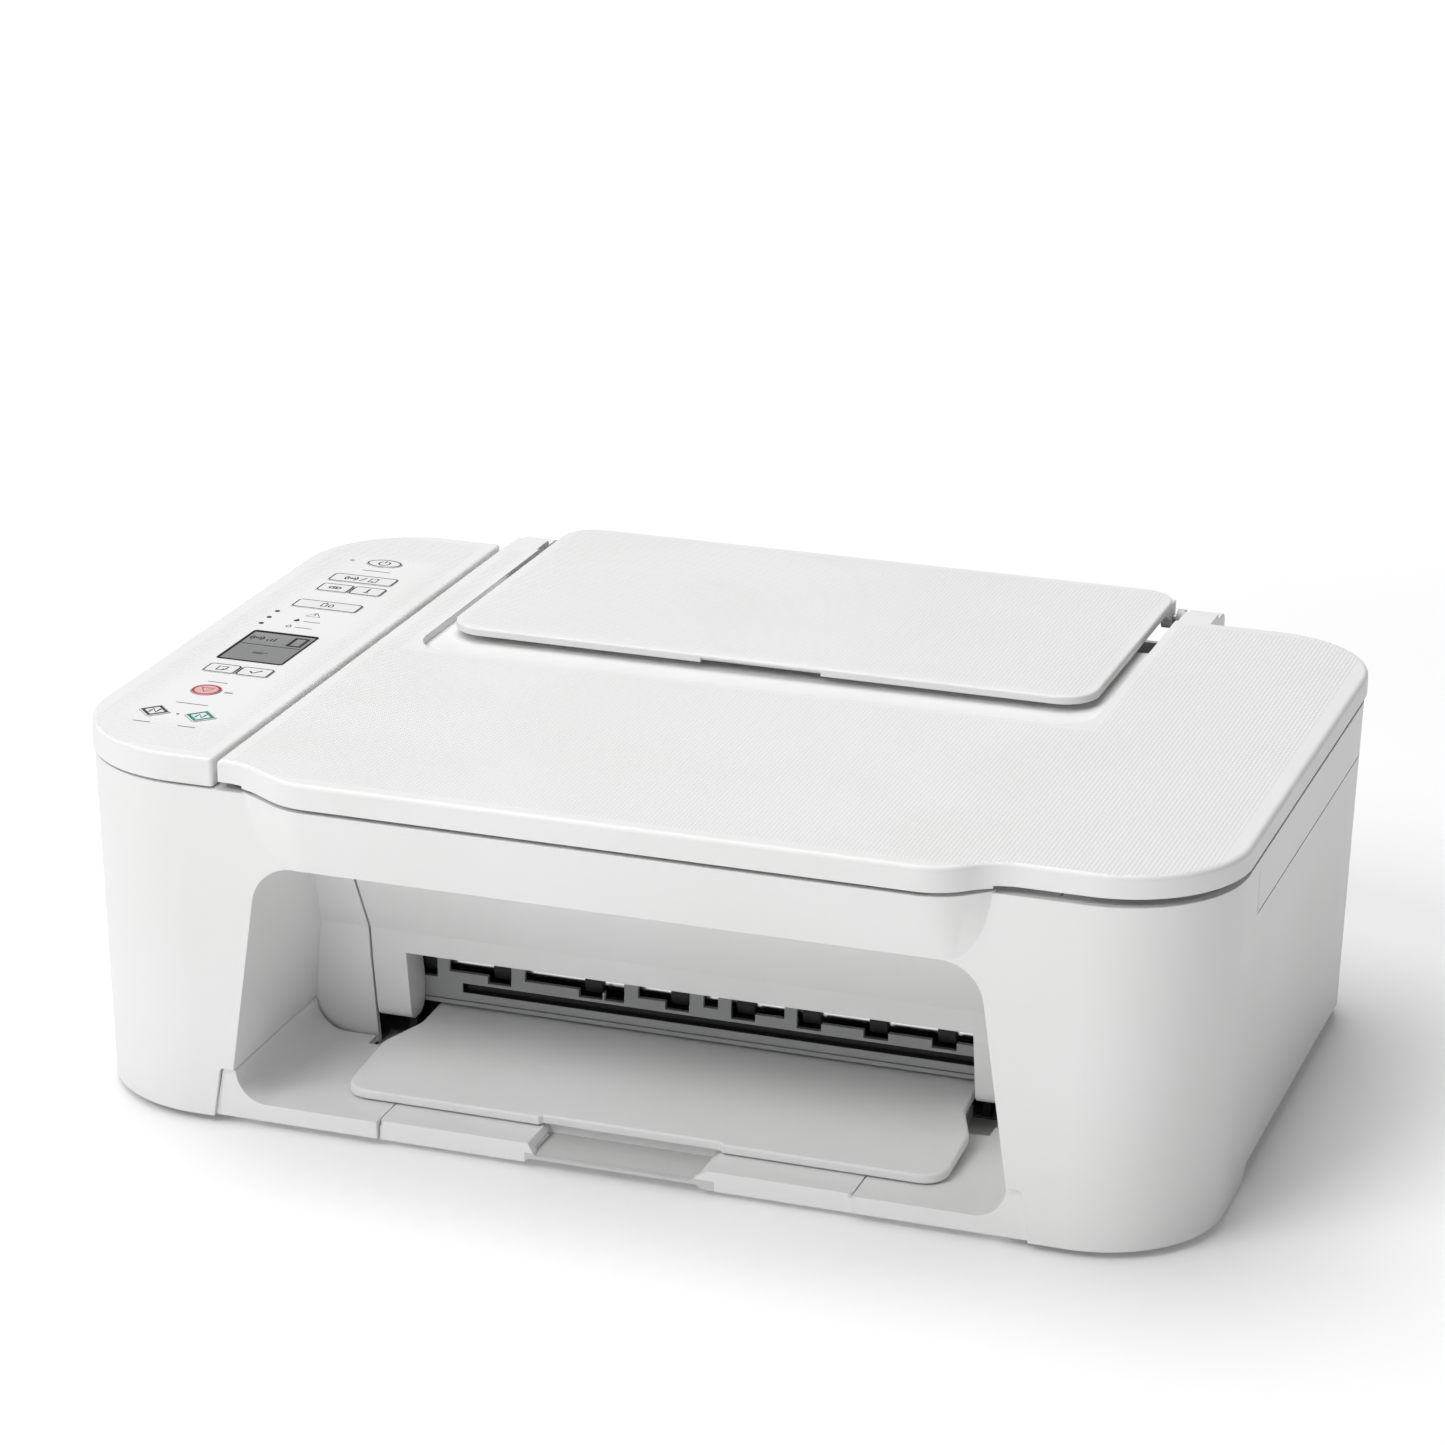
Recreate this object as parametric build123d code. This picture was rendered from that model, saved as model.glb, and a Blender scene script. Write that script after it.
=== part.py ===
from build123d import *
import math
import os

os.makedirs("parts", exist_ok=True)

# Frame: +X to the right seen from the front, the front at -Y, +Z up. The origin is at the
# centre of the footprint, on the surface that the printer stands on. Millimetres.

# Outer sizes
HALF_TOP = 216.5          # half width of the casing at its rim
HALF_BOTTOM = 213.0       # half width of the casing at its foot
HALF_LID = 217.5          # the lid and the control panel stand 1 mm proud of the rim
FRONT = -145.0
LIP_FRONT = -158.0        # front of the lid's stepped lip
REAR = 131.0
REAR_FOOT = 128.0
BULGE_REAR = 158.0        # rear wall of the paper hopper
FOOT_Z = 3.0
RIM_Z = 131.0
LID_BOTTOM = 134.0
LID_TOP = 142.2
FLAP_TOP = 145.0
WALL = 2.5
R_FRONT_LEFT, R_FRONT_RIGHT, R_REAR = 50.0, 45.0, 44.0
CASING_RADII = [R_FRONT_LEFT, R_FRONT_RIGHT, R_REAR, R_REAR]

# Bay in the front
BAY_HALF_LOW, BAY_HALF_TOP = 146.2, 134.4   # half widths at SILL_TOP and BAY_TOP
BAY_TOP = 104.0
SILL_TOP = 22.0
SILL_FRONT, SILL_REAR = -143.5, -55.0
SILL_FLOOR = 9.8
COVER_LINE = [(-70.9, 21.6), (-74.7, 43.5), (-76.1, 56.1), (-87.7, 78.0), (-101.0, 103.3)]
COVER_THICK = 2.4
COVER_HALF = 120.9
CHEEK_LEFT, CHEEK_RIGHT = -107.2, 113.5     # the paper runs a little right of the middle
COVER_HINGE = (-64.0, 26.0)
TRAY_HALF = 89.8

# Lid, hopper and their common hinge line
LID_HINGE = (150.0, 136.0)
HINGE_BOSS = 4.0
PIN_R = 1.6
HOPPER_HALF = 132.5
FLAP_HALF = 128.5
FLAP_FRONT, FLAP_REAR = 17.9, 156.5
FIELD_HALF, FIELD_FRONT, FIELD_DEPTH = 133.5, -5.0, 3.0
NOTCH_FRONT = 95.0
PANEL_RIGHT, LID_LEFT = -151.0, -149.3

# Paper path
FEED_AXIS = (22.0, 34.0)
EJECT_AXIS = (-50.0, 36.6)
PINCH_AXIS = (22.0, 43.4)
PICKUP_AXIS = (80.5, 66.6)
MODULE = 1.0
FEED_TEETH, IDLER_TEETH, EJECT_TEETH, PINION_TEETH = 40, 43, 20, 16
GEAR_X0, GEAR_X1 = -158.0, -151.0
PINION_ANGLE = 60.0       # direction from the feed axis to the motor axis

# Carriage
CARRIAGE_X = 166.0        # home position
BELT_Z, PULLEY_R = 70.0, 5.5
DRIVE_X, TENSION_X = 198.0, -188.0
SCREEN_Z = 142.35


def span(x0, x1, y0, y1, z0, z1):
    """Box between two corners."""
    centre = Pos((x0 + x1) / 2, (y0 + y1) / 2, (z0 + z1) / 2)
    return centre * Box(x1 - x0, y1 - y0, z1 - z0)


def both(solid):
    """The solid and its mirror image across the middle plane."""
    return solid + mirror(solid, about=Plane.YZ)


def rod_x(x0, x1, axis, r):
    return Pos((x0 + x1) / 2, axis[0], axis[1]) * Rot(0, 90, 0) * Cylinder(r, x1 - x0)


def rod_y(x, z, y0, y1, r):
    return Pos(x, (y0 + y1) / 2, z) * Rot(90, 0, 0) * Cylinder(r, y1 - y0)


def rod_z(x, y, z0, z1, r):
    return Pos(x, y, (z0 + z1) / 2) * Cylinder(r, z1 - z0)


def outline(points, radii=0):
    """Closed face through the points with a radius at each corner."""
    if isinstance(radii, (int, float)):
        radii = [radii] * len(points)
    if max(radii) == 0:
        return make_face(Polyline(*points, close=True))
    return make_face(FilletPolyline(*points, radius=radii, close=True))


def corners(x0, x1, y0, y1):
    return [(x0, y0), (x1, y0), (x1, y1), (x0, y1)]


def plate(points, z0, z1, radii=0):
    """Plan outline raised from z0 to z1."""
    return extrude(Pos(0, 0, z0) * outline(points, radii), z1 - z0)


def side_profile(points, x0, x1, radii=0):
    """Outline of (y, z) points drawn out from x0 to x1."""
    return extrude(Pos(x0, 0, 0) * (Plane.YZ * outline(points, radii)), x1 - x0)


def front_profile(points, y0, y1, radii=0):
    """Outline of (x, z) points drawn out from y1 forward to y0."""
    return extrude(Pos(0, y1, 0) * (Plane.XZ * outline(points, radii)), y1 - y0)


def save(name, shape):
    export_step(shape, f"parts/{name}.step")


def bay_points(grow, floor):
    """Half-open trapezoid of the bay, grown outward."""
    slope = (BAY_HALF_LOW - BAY_HALF_TOP) / (BAY_TOP - SILL_TOP)
    low = BAY_HALF_LOW + grow + slope * (SILL_TOP - floor)
    top = BAY_HALF_TOP + grow - slope * grow
    return [(-low, floor), (low, floor), (top, BAY_TOP + grow), (-top, BAY_TOP + grow)]


def shifted(line, dy):
    return [(y + dy, z) for y, z in line]


def s_outline(x_left, x_right, y_back, y_front, y_rear):
    """Plan of the stepped front: straight, forward through an S, straight and back."""
    return [(x_left, y_back), (-139, y_back), (-117, y_front),
            (124, y_front), (139, y_back), (x_right, y_back),
            (x_right, y_rear), (x_left, y_rear)]


# Casing -------------------------------------------------------------------------------

def drafted(inset, z0, z1):
    """Casing volume between two heights, drafted on its sides and rear."""
    def section(z):
        part = (z - FOOT_Z) / (RIM_Z - FOOT_Z)
        half = HALF_BOTTOM + (HALF_TOP - HALF_BOTTOM) * part - inset
        rear = REAR_FOOT + (REAR - REAR_FOOT) * part - inset
        radii = [r - inset for r in CASING_RADII]
        return Pos(0, 0, z) * outline(corners(-half, half, FRONT + inset, rear), radii)
    return loft([section(z0), section(z1)], ruled=True)


def flare():
    """The panel above the bay, which leans forward to meet the lid's lip."""
    def section(z, y_back, y_front):
        plan = s_outline(-139.5, 139.5, y_back, y_front, -142.1)
        return Pos(0, 0, z) * outline(plan, [0, 0, 25, 25, 0, 0, 0, 0])
    panel = loft([section(BAY_TOP, FRONT + 2.4, FRONT),
                  section(RIM_Z + 0.5, FRONT + 0.5, LIP_FRONT + 0.4)], ruled=True)
    hollow = side_profile([(-141, 107), (-143.6, 107.5), (-153, 128.5), (-141, 128.5)],
                          -110, 117)
    return panel, hollow


def bay_tunnel():
    """Side walls and ceiling of the bay with the fixed wall beside the output cover."""
    floor = SILL_TOP + 0.4
    radii_in, radii_out = [0, 0, 16, 16], [0, 0, 18, 18]
    ring = (front_profile(bay_points(2, floor), -143, -60, radii_out)
            - front_profile(bay_points(0, floor), -144, -59, radii_in))
    behind = side_profile(shifted(COVER_LINE, COVER_THICK)
                          + [(-98.6, 110), (-50, 110), (-50, 18), (-68.2, 18)], -150, 150)
    ring -= behind
    wall_line = [(-68.2, 5.9)] + COVER_LINE[:-1] + [(-101.4, 104.2)]
    band = wall_line + shifted(wall_line, COVER_THICK)[::-1]
    wall = side_profile(band, 121.8, 150) & front_profile(bay_points(1.9, 5.9), -110, -60,
                                                          [0, 0, 17.9, 17.9])
    boss = rod_x(121.8, 126, COVER_HINGE, 5) - rod_x(121, 127, COVER_HINGE, 2.2)
    web = span(122.5, 125, -69, -64, 22, 30) - rod_x(121, 127, COVER_HINGE, 2.2)
    return ring + both(wall + boss + web)


def main_casing():
    shell = drafted(0, FOOT_Z, RIM_Z) - drafted(WALL, FOOT_Z, RIM_Z - WALL)
    panel, hollow = flare()
    shell = shell + panel - hollow
    scanner_hole = plate(corners(-147.3, 213.2, -142.2, 93.4), 120, RIM_Z + 0.2,
                         [3, 42.5, 3, 3])
    shell -= scanner_hole & span(-150, 215, -142.2, 95, 120, RIM_Z + 0.2)
    shell -= span(-133.2, 133.2, 93, 140, 11.5, RIM_Z + 1)
    shell -= front_profile(bay_points(0, SILL_TOP + 0.3), -150, -140, [0, 0, 16, 16])
    shell -= front_profile([(-154.9, 0), (154.9, 0), (151.4, SILL_TOP + 0.4),
                            (-151.4, SILL_TOP + 0.4)], -150, -140, [0, 0, 1.5, 1.5])
    shell += bay_tunnel()
    hand_grip = side_profile([(-73, 0), (-67, 8.5), (92, 8.5), (100, 0)], 206, 220)
    seam = span(215.3, 219, -80, 96, 109.7, 110.3) + span(215.5, 219, -82.3, -81.7, 109.7, 127)
    shell -= both(hand_grip + seam)
    shell -= span(140.5, 169.5, 124, 134, 16.5, 35.5)      # power inlet
    shell -= span(150, 163, 124, 134, 52, 64)               # data socket
    return shell


def base_pan():
    floor = plate(corners(-209, 209, -141, 124.5), 3.2, 5.7, [46, 41, 40, 40])
    rim = floor_rim(-209, 209, -66, 124.5, 5.7, 14)
    sill_cut = span(-156, 156, -150, -70.9, 0, 20) + span(-123, 123, -80, SILL_REAR + 0.3, 0, 20)
    return floor + rim - sill_cut - span(-134, 134, 118, 140, 9, 20)


def floor_rim(x0, x1, y0, y1, z0, z1):
    radii = [0, 0, 40, 40]
    outer = plate(corners(x0, x1, y0, y1), z0, z1, radii)
    inner = plate(corners(x0 + 2, x1 - 2, y0 - 1, y1 - 2), z0 - 1, z1 + 1, [0, 0, 38, 38])
    return outer - inner


def rubber_feet():
    foot = plate(corners(172, 194, -127, -105), 0, 3.2, 5)
    return both(foot + Pos(0, 172, 0) * foot)


def front_sill():
    fillet_r = 12.0
    top_in, floor_z = BAY_HALF_LOW - 0.2, SILL_FLOOR
    points = [(154.4, 3.2), (151, SILL_TOP), (top_in, SILL_TOP), (top_in - 2, floor_z),
              (-top_in + 2, floor_z), (-top_in, SILL_TOP), (-151, SILL_TOP), (-154.4, 3.2)]
    sill = front_profile(points, SILL_FRONT, SILL_REAR, [1, 1.5, 1, fillet_r, fillet_r, 1, 1.5, 1])
    sill -= span(-137, 137, SILL_FRONT + 2.5, -50, 0, 7.3)
    sill -= both(span(121.5, 160, -71.2, -40, 0, 30))
    sill -= both(span(148, 160, SILL_FRONT + 2.5, -40, 0, 17))
    sill -= span(-90.3, 90.3, -150, -40, 0, 12)
    trough = front_profile([(-92.5, 3.4), (92.5, 3.4), (92.5, 9.8), (90.3, 9.8), (90.3, 5.4),
                            (-90.3, 5.4), (-90.3, 9.8), (-92.5, 9.8)], -119, SILL_REAR)
    sill -= both(span(108.5, 121.6, -79, -50, 0, 12))
    pocket_floor = both(span(107.5, 122.5, -80, SILL_REAR, 3.4, 5.0)
                        + span(107.5, 122.5, -80, -79, 3.4, 7.5)
                        + span(107.5, 108.5, -80, SILL_REAR, 3.4, 7.5))
    return sill + trough + pocket_floor


# Scanner and lid ------------------------------------------------------------------------

def scanner_frame():
    radii = [2, 42, 2, 2]
    frame = plate(corners(-147, 212.6, -141.9, 93), 108, RIM_Z, radii)
    frame -= plate(corners(-142, 208, -137.5, 88.5), 110, 126.5, [2, 38, 2, 2])
    frame -= span(-132, 166, -130, 80, 126, 129)
    frame -= span(-136.2, 170.2, -134.2, 84.2, 128.5, 132)
    return frame


def scan_bar():
    bar = span(-139, -123, -128, 78, 115.6, 126) + span(-138, -124, -33, -17, 110.6, 115.6)
    return bar - rod_x(-141, -120, (-25, 113.2), 2.2)


def document_lid():
    x1, y1 = HALF_LID, REAR
    radii = [1.5, 25, 25, 25, 25, R_FRONT_RIGHT, R_REAR, 2]
    plan = s_outline(LID_LEFT, x1, FRONT + 0.5, LIP_FRONT, y1)
    lid = plate(plan, LID_BOTTOM, LID_TOP, radii)
    lip = plate(plan, LID_BOTTOM - 1, LID_BOTTOM, radii)
    lid += lip & span(-139, 139, -160, FRONT - 0.3, 130, 140)
    top_edges = lid.edges().filter_by(lambda e: e.center().Z > LID_TOP - 0.01)
    lid = fillet(top_edges, 2.0)
    field = plate(corners(-FIELD_HALF, FIELD_HALF, FIELD_FRONT, REAR + 30),
                  LID_TOP - FIELD_DEPTH, 150, [16, 16, 0, 0])
    lid -= field
    lid -= plate(corners(LID_LEFT + 2.5, x1 - WALL, FRONT + 3, REAR - WALL),
                 130, LID_TOP - FIELD_DEPTH - 2.5, [2, 42, 41, 2])
    lid -= plate(corners(-112, 119, LIP_FRONT + 2.5, FRONT - 1), 130, LID_TOP - 2.5, 4)
    lid -= span(-FIELD_HALF, FIELD_HALF, NOTCH_FRONT, 160, 130, 150)
    rim_back = span(-FIELD_HALF, FIELD_HALF, NOTCH_FRONT - WALL, NOTCH_FRONT,
                    LID_BOTTOM, LID_TOP - FIELD_DEPTH)
    rim_side = both(span(FIELD_HALF, FIELD_HALF + WALL, NOTCH_FRONT - WALL, REAR,
                         LID_BOTTOM, LID_TOP - 2))
    y, z = LID_HINGE
    arm = side_profile([(126, 133.6), (y, z - HINGE_BOSS), (y, z + HINGE_BOSS),
                        (143, z + HINGE_BOSS), (142.6, LID_TOP), (126, LID_TOP)],
                       134.5, 147.5, [0, 0, 0, 0, 1.5, 0])
    arm += rod_x(134.5, 147.5, LID_HINGE, HINGE_BOSS)
    arm -= rod_x(130, 147.2, LID_HINGE, PIN_R + 0.15)
    return lid + rim_back + rim_side + both(arm)


def paper_support():
    flap = plate(corners(-FLAP_HALF, FLAP_HALF, FLAP_FRONT, FLAP_REAR), 142, FLAP_TOP, 14)
    top_edges = flap.edges().filter_by(lambda e: e.center().Z > FLAP_TOP - 0.01)
    flap = fillet(top_edges, 1.0)
    flap -= span(-24, 24, FLAP_FRONT - 1, FLAP_FRONT + 3, 141, 143.7)
    y, z = LID_HINGE
    arm = side_profile([(y - HINGE_BOSS, z), (y + HINGE_BOSS, z), (154.5, 142.2),
                        (136, 142.2)], 123.5, 127.5)
    arm += rod_x(123.5, 127.5, LID_HINGE, HINGE_BOSS)
    arm -= rod_x(123, 128, LID_HINGE, PIN_R + 0.15)
    return flap + both(arm)


def rear_tray_housing():
    y, z = LID_HINGE
    cheek = side_profile([(95, 12), (BULGE_REAR, 12), (BULGE_REAR, 123), (y + HINGE_BOSS, z),
                          (y - HINGE_BOSS, z), (140, 128), (95, 128)], 129.5, HOPPER_HALF,
                         [0, 4, 3, 0, 0, 0, 0])
    cheek += rod_x(129.5, HOPPER_HALF, LID_HINGE, HINGE_BOSS)
    cheek -= rod_x(129, 133, LID_HINGE, PIN_R)
    back = span(-129.5, 129.5, BULGE_REAR - WALL, BULGE_REAR, 15, 123)
    floor = span(-129.5, 129.5, 128, BULGE_REAR - 1, 12, 14.5)
    stop = span(-129.5, 129.5, 139.5, 142.5, 118, 122)
    ramp = side_profile([(126, 38), (126, 50), (104, 46.5), (80, 46.5), (52, 42), (52, 39),
                         (80, 43), (104, 42), (118, 36)], -129.5, 129.5)
    legs = span(-129.5, -126.5, 104, 126, 12, 40) + span(126.5, 129.5, 104, 126, 12, 40)
    return both(cheek) + back + floor + stop + ramp + legs


def hinge_pins():
    return both(rod_x(123.8, 146.8, LID_HINGE, PIN_R))


# Control panel --------------------------------------------------------------------------

KEYS = {
    "wireless_button": (-184.3, 66.5, 27.4, 9.6),
    "info_button": (-190.5, 53.0, 13.4, 9.6),
    "direct_button": (-176.5, 53.0, 13.4, 9.6),
    "ink_button": (-184.0, 30.8, 27.4, 9.6),
    "copies_button": (-190.2, -52.4, 13.0, 9.4),
    "ok_button": (-176.6, -52.4, 13.0, 9.4),
}
POWER_KEY = (-184.7, 89.0, 7.4, 4.8)
STOP_KEY = (-185.1, -76.8, 5.7)
DIAMONDS = {"start_black_button": (-192.8, -104.4), "start_color_button": (-174.3, -104.4)}
DIAMOND_HALF = 6.4
LAMPS = [(-199.0, 89.4), (-199.8, 18.4), (-199.7, 10.5), (-199.5, 2.7)]
LAMP_R = 1.0
STOP_LAMP = (-176.0, -77.0, 3.2, 1.2)
SCREEN = (-198.2, -170.8, -41.3, -5.7)


def key_centre(name):
    keys = {"power_button": POWER_KEY, "stop_button": STOP_KEY, **DIAMONDS, **KEYS}
    return keys[name][:2]


def key_plan(name, grow=0.0):
    """Plan of one button's cap, grown for its hole or its flange."""
    if name == "power_button":
        x, y, rx, ry = POWER_KEY
        return Pos(x, y) * Ellipse(rx + grow, ry + grow)
    if name == "stop_button":
        x, y, r = STOP_KEY
        return Pos(x, y) * Circle(r + grow)
    if name in DIAMONDS:
        x, y = DIAMONDS[name]
        side = (DIAMOND_HALF + grow * math.sqrt(2)) * math.sqrt(2)
        return Pos(x, y) * Rot(0, 0, 45) * RectangleRounded(side, side, 1.0)
    x, y, wide, deep = KEYS[name]
    return Pos(x, y) * RectangleRounded(wide + 2 * grow, deep + 2 * grow, 1.6 + grow)


BUTTONS = ["power_button", *KEYS, "stop_button", *DIAMONDS]


def button(name):
    """Cap with a tab at its front and rear that stops it under the panel."""
    cap = extrude(Pos(0, 0, 136.8) * key_plan(name), 5.7)
    x, y = key_centre(name)
    reach = cap.bounding_box().size.Y / 2 + 0.9
    return cap + span(x - 2.4, x + 2.4, y - reach, y + reach, 136.8, 139.3)


def control_panel():
    plan = corners(-HALF_LID, PANEL_RIGHT, FRONT + 0.5, REAR)
    panel = plate(plan, RIM_Z + 0.8, LID_TOP, [R_FRONT_LEFT, 1.5, 2, R_REAR])
    top_edges = panel.edges().filter_by(lambda e: e.center().Z > LID_TOP - 0.01)
    panel = fillet(top_edges, 1.4)
    inner = corners(-HALF_LID + 2.2, PANEL_RIGHT - 2.2, FRONT + 2.7, REAR - 2.2)
    panel -= plate(inner, 130, LID_TOP - WALL, [R_FRONT_LEFT - 2.2, 1, 1, R_REAR - 2.2])
    for name in BUTTONS:
        panel -= extrude(Pos(0, 0, 135) * key_plan(name, 0.25), 10)
    x0, x1, y0, y1 = SCREEN
    panel -= plate(corners(x0 - 0.15, x1 + 0.15, y0 - 0.15, y1 + 0.15), 135, 145, 1.6)
    for x, y in LAMPS:
        panel -= rod_z(x, y, 135, 145, LAMP_R)
    x, y, wide, deep = STOP_LAMP
    return panel - span(x - wide / 2, x + wide / 2, y - deep / 2, y + deep / 2, 135, 145)


def lcd_display():
    x0, x1, y0, y1 = SCREEN
    return plate(corners(x0, x1, y0, y1), 136.5, SCREEN_Z, 1.5)


def panel_lamps():
    x, y, wide, deep = STOP_LAMP
    lamps = span(x - wide / 2, x + wide / 2, y - deep / 2, y + deep / 2, 136.5, SCREEN_Z)
    for x, y in LAMPS:
        lamps += rod_z(x, y, 136.5, SCREEN_Z, LAMP_R)
    return lamps


# Output bay -----------------------------------------------------------------------------

def output_cover():
    line = [(-75.05, 47.0)] + COVER_LINE[2:]
    panel = side_profile(line + shifted(line, COVER_THICK)[::-1], -COVER_HALF, COVER_HALF)
    low = [(-75.05, 47.0), (-74.7, 43.5), (-70.9, 21.6), (-69.5, 17.7), (-60, 17.6),
           (-56.0, 26), (-61, 47.0), (-69, 56), (-73.6, 56.2)]
    radii = [0, 0, 3, 4, 5, 8, 6, 1, 0]
    cheeks = (side_profile(low, -COVER_HALF, CHEEK_LEFT, radii)
              + side_profile(low, CHEEK_RIGHT, COVER_HALF, radii))
    return panel + cheeks + both(rod_x(COVER_HALF - 1, 125.2, COVER_HINGE, 2.0))


def output_tray():
    plan = [(-102, -54), (-102.6, -72), (-110.8, -90), (-110.8, -127), (-34, -127),
            (-32.5, -125.4), (35, -125.4), (36.5, -127), (118.3, -127), (118.3, -94),
            (111.6, -77), (111, -54)]
    radii = [1, 14, 12, 9, 0.5, 0.5, 0.5, 0.5, 9, 12, 14, 1]
    board = plate(plan, 5, 30, radii)
    slope = side_profile([(-50, 20.6), (-50, 17.4), (-130, 10.3), (-130, 13.5)], -120, 120)
    board = fillet((board & slope).edges().filter_by(lambda e: e.center().Z > 13.4
                                                     and e.center().Y < -100
                                                     and e.length > 60), 1.0)
    ribs = both(span(94, 96, -120, -62, 10.1, 15.4) + span(98, 100, -118, -62, 10.1, 15.4))
    ribs &= side_profile([(-50, 20), (-50, 5), (-130, 5), (-130, 13)], -115, 115)
    return board + ribs


def tray_extension():
    top = SILL_FLOOR + 0.1
    plan = corners(-TRAY_HALF, TRAY_HALF, -141.9, -66)
    sheet = plate(plan, 7.3, top, 2)
    lip = span(-TRAY_HALF, TRAY_HALF, -141.9, -138.6, 2.4, 8)
    body = sheet + lip
    body -= front_profile([(-34, 2), (34, 2), (32, 3.9), (-32, 3.9)], -145, -137)
    notch = front_profile([(-33.5, 12), (38.5, 12), (29.5, 5.4), (-29.5, 5.4)], -145, -122)
    body -= notch
    return body + span(-34, 36, -122.2, -120.5, 5.4, 9.8) + span(-31, 31, -140, -120.5, 4.0, 5.6)


EJECT_RUBBER_X = (-106.4, -76.5, -39.8, -5.5, 20.4, 46.0, 71.8, 97.9)
RUBBER_HALF = 3.4
TAB_X = (-99.7, -69.2, -23.9, 1.9, 13.1, 39.0)


def exit_guide():
    """Wall in front of the eject shaft: a slot, notches for the rubbers, upright tabs."""
    guide = side_profile([(-58.2, 21.4), (-58.2, 23.0), (-57.2, 23.0), (-57.2, 23.4),
                          (-57.7, 23.4), (-57.7, 34.4), (-47, 34.4), (-47, 21.4)],
                         -106.9, 112.4)
    guide += span(-115, 115, -54.6, -47, 21.4, 30.6)
    guide -= span(-91.7, 111.6, -59, -53.6, 26.4, 30.2)
    for x in TAB_X:
        guide += span(x - 2.7, x + 2.7, -57.7, -54, 33, 40.4)
    for x in EJECT_RUBBER_X:
        guide -= span(x - 5.0, x + 4.5, -59, -46, 31.4, 42)
    guide -= span(-34.6, -26.7, -59, -46, 31.4, 42)
    guide -= rod_x(-116, 116, EJECT_AXIS, 6.2) + span(-116, 116, EJECT_AXIS[0], -46, 31.5, 42)
    post = span(112, 115, -54.6, -42, 5.7, 49) - rod_x(110, 116, EJECT_AXIS, 3.5)
    return guide + both(post) + span(-115, 115, -58.5, -53, 46, 49)


def print_platen():
    platen = span(-112, 112, -42, 14, 34, 38) - span(-108, 108, -30, 0, 36.5, 39)
    for x in range(-96, 97, 16):
        platen += span(x - 1, x + 1, -30, 0, 36, 38)
    legs = both(span(104, 110, -38, -32, 5.7, 35) + span(104, 110, 4, 10, 5.7, 35))
    return platen + legs


# Gears ----------------------------------------------------------------------------------

PRESSURE_ANGLE = math.radians(20)
BACKLASH = 0.26


def involute(angle):
    return math.tan(angle) - angle


def gear_outline(teeth, turn):
    """Spur gear profile with a tooth centred on the direction turn (radians)."""
    pitch = MODULE * teeth / 2
    base = pitch * math.cos(PRESSURE_ANGLE)
    tip, root = pitch + 0.9 * MODULE, pitch - 1.25 * MODULE
    half = math.pi / (2 * teeth) - BACKLASH / (2 * pitch) + involute(PRESSURE_ANGLE)

    def half_angle(radius):
        return half - involute(math.acos(min(1.0, base / radius)))
    start = max(base, root)
    radii = [start + (tip - start) * i / 4 for i in range(5)]
    if root < base - 0.01:
        radii.insert(0, root)
    points = []
    for k in range(teeth):
        centre = turn + 2 * math.pi * k / teeth
        flank = [(r, half_angle(max(r, base))) for r in radii]
        points += [(r, centre - a) for r, a in flank]
        points += [(r, centre + a) for r, a in flank[::-1]]
    return [(r * math.cos(a), r * math.sin(a)) for r, a in points]


def gear(teeth, axis, turn, bore):
    points = [(axis[0] + y, axis[1] + z) for y, z in gear_outline(teeth, turn)]
    return side_profile(points, GEAR_X0, GEAR_X1) - rod_x(GEAR_X0 - 1, GEAR_X1 + 1, axis, bore)


def meshing_turn(from_axis, from_teeth, from_turn, to_axis, to_teeth):
    """Turn that puts a gap of the second gear over a tooth of the first."""
    line = math.atan2(to_axis[1] - from_axis[1], to_axis[0] - from_axis[0])
    offset = (from_turn - line) * from_teeth / (2 * math.pi)
    return line + math.pi + (0.5 - offset) * 2 * math.pi / to_teeth


def idler_axis():
    """Where the idler meets both the feed gear and the eject gear, on the lower side."""
    near = MODULE * (FEED_TEETH + IDLER_TEETH) / 2
    far = MODULE * (EJECT_TEETH + IDLER_TEETH) / 2
    dy, dz = EJECT_AXIS[0] - FEED_AXIS[0], EJECT_AXIS[1] - FEED_AXIS[1]
    gap = math.hypot(dy, dz)
    along = (gap ** 2 + near ** 2 - far ** 2) / (2 * gap)
    aside = math.sqrt(near ** 2 - along ** 2)
    uy, uz = dy / gap, dz / gap
    return (FEED_AXIS[0] + uy * along - uz * aside, FEED_AXIS[1] + uz * along + uy * aside)


def pinion_axis():
    reach = MODULE * (FEED_TEETH + PINION_TEETH) / 2
    angle = math.radians(PINION_ANGLE)
    return (FEED_AXIS[0] + reach * math.cos(angle), FEED_AXIS[1] + reach * math.sin(angle))


IDLER_AXIS = idler_axis()
PINION_AXIS = pinion_axis()


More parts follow.
